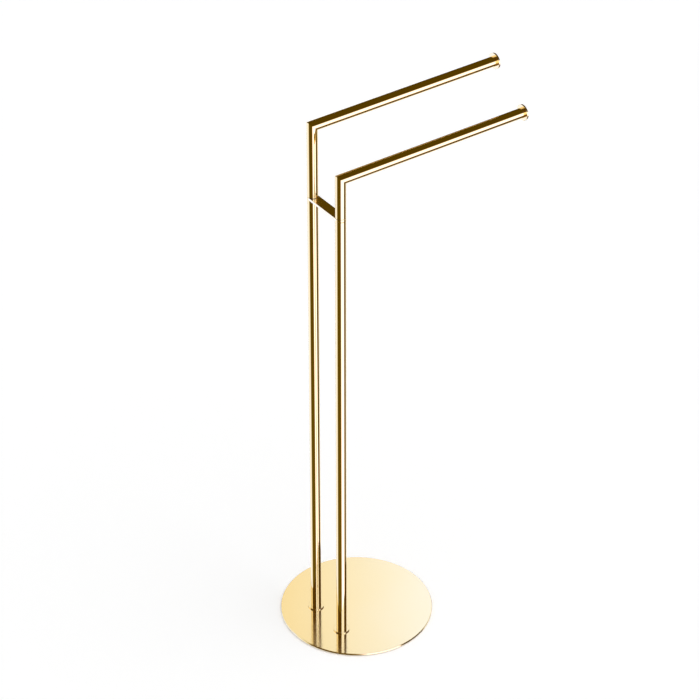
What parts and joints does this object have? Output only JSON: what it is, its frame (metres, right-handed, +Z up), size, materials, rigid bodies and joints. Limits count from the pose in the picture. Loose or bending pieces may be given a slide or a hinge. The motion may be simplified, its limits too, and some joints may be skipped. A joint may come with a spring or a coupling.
{
  "type": "freestanding towel stand",
  "caption": "Freestanding towel stand: round base plate, upright posts tied by a link plate, and level L-shaped towel arms at different heights that swivel on the posts.",
  "frame": {"origin": "on the floor, under the middle of the round base", "axes": "+Z up; +X along the towel arms at rest; +Y towards the rear post, which carries the higher arm"},
  "size_m": [0.393, 0.24, 0.9005],
  "materials": {
    "tube_gold": "polished gold plate on tube",
    "plate_gold": "polished gold plate on flat and turned pieces",
    "turned_brass": "bare, as turned",
    "screw_steel": "bright zinc plated",
    "acetal": "moulded, black",
    "pad_rubber": "matt sheet"
  },
  "bodies": {
    "stand": {"base_pad": "pad_rubber", "base_plate": "plate_gold", "base_screws": "screw_steel", "rear_foot_ring": "plate_gold", "front_foot_ring": "plate_gold", "rear_foot_plug": "turned_brass", "front_foot_plug": "turned_brass", "rear_post": "tube_gold", "front_post": "tube_gold", "rear_top_plug": "turned_brass", "front_top_plug": "turned_brass", "link_plate": "plate_gold", "pivot_screws": "screw_steel", "glide_washers": "acetal", "disc_springs": "screw_steel"},
    "rear_towel_arm": {"rear_swivel_bush": "turned_brass", "rear_set_screw": "screw_steel", "rear_riser": "tube_gold", "rear_arm": "tube_gold", "rear_end_cap": "plate_gold"},
    "front_towel_arm": {"front_swivel_bush": "turned_brass", "front_set_screw": "screw_steel", "front_riser": "tube_gold", "front_arm": "tube_gold", "front_end_cap": "plate_gold"}
  },
  "joints": [
    {"name": "rear_arm_swivel", "type": "hinge", "parent": "stand", "child": "rear_towel_arm", "pos_m": [-0.054, 0.035, 0.7785], "axis": [0, 0, 1], "continuous": true},
    {"name": "front_arm_swivel", "type": "hinge", "parent": "stand", "child": "front_towel_arm", "pos_m": [-0.054, -0.035, 0.7785], "axis": [0, 0, 1], "range_deg": [-255, 75]}
  ]
}
